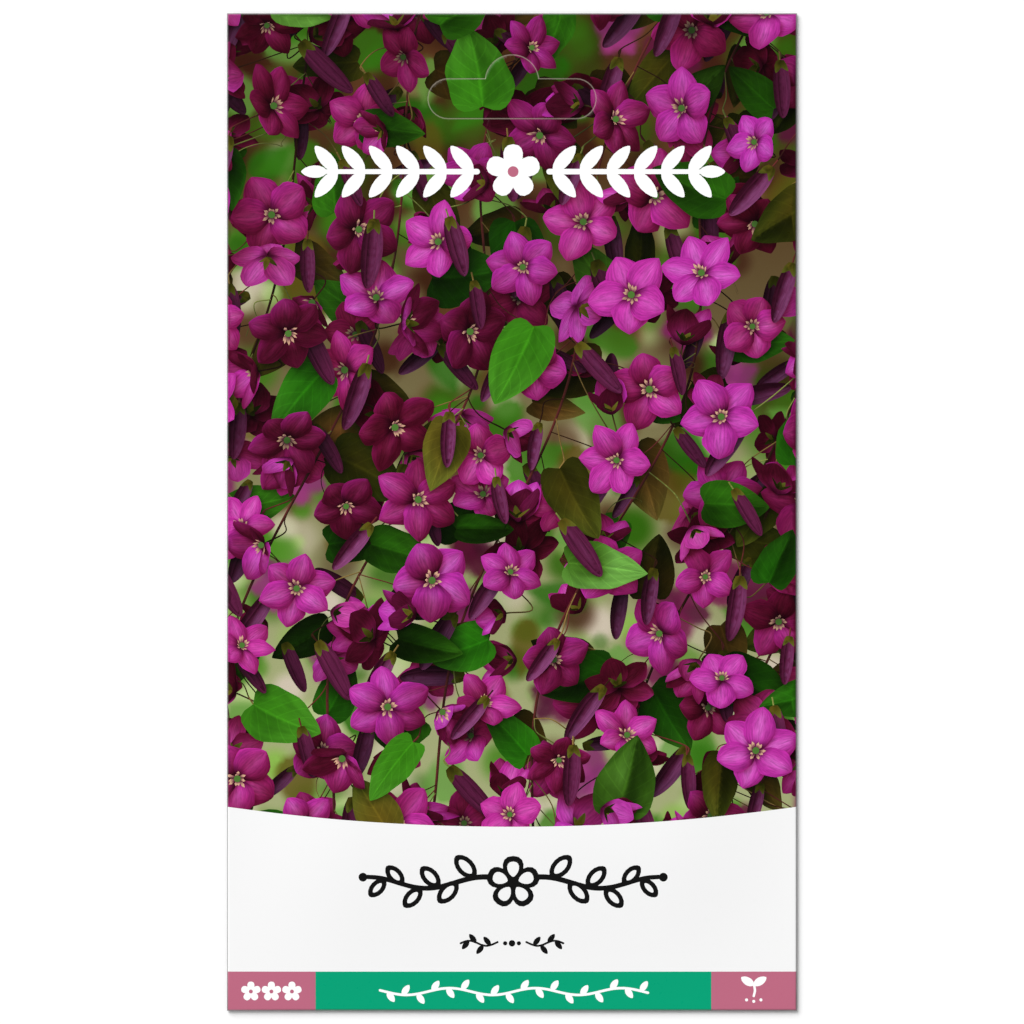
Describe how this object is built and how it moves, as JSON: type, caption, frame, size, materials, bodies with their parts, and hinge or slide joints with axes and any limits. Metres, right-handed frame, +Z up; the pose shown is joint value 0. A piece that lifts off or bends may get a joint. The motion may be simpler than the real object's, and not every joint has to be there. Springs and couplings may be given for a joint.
{
  "type": "seed packet",
  "caption": "Flat folded and glued paper seed packet lying on its back, with a pressed hang slot at its head, end flaps, a back seam, and a glassine bag of seeds inside.",
  "frame": {"origin": "middle of the packet's outline, on the surface that it lies on", "axes": "+Z up out of the printed front, +Y along the packet to its head with the hang slot, +X to the right as the front is read"},
  "size_m": [0.1, 0.175, 0.0028],
  "materials": {
    "printed_paper": "satin",
    "glassine": "satin",
    "seed_coat": "matte"
  },
  "bodies": {
    "root": {"packet_sheet": "printed_paper", "glassine_bag": "glassine", "seed_01": "seed_coat", "seed_02": "seed_coat", "seed_03": "seed_coat", "seed_04": "seed_coat", "seed_05": "seed_coat", "seed_06": "seed_coat", "seed_07": "seed_coat", "seed_08": "seed_coat", "seed_09": "seed_coat", "seed_10": "seed_coat"}
  },
  "joints": []
}
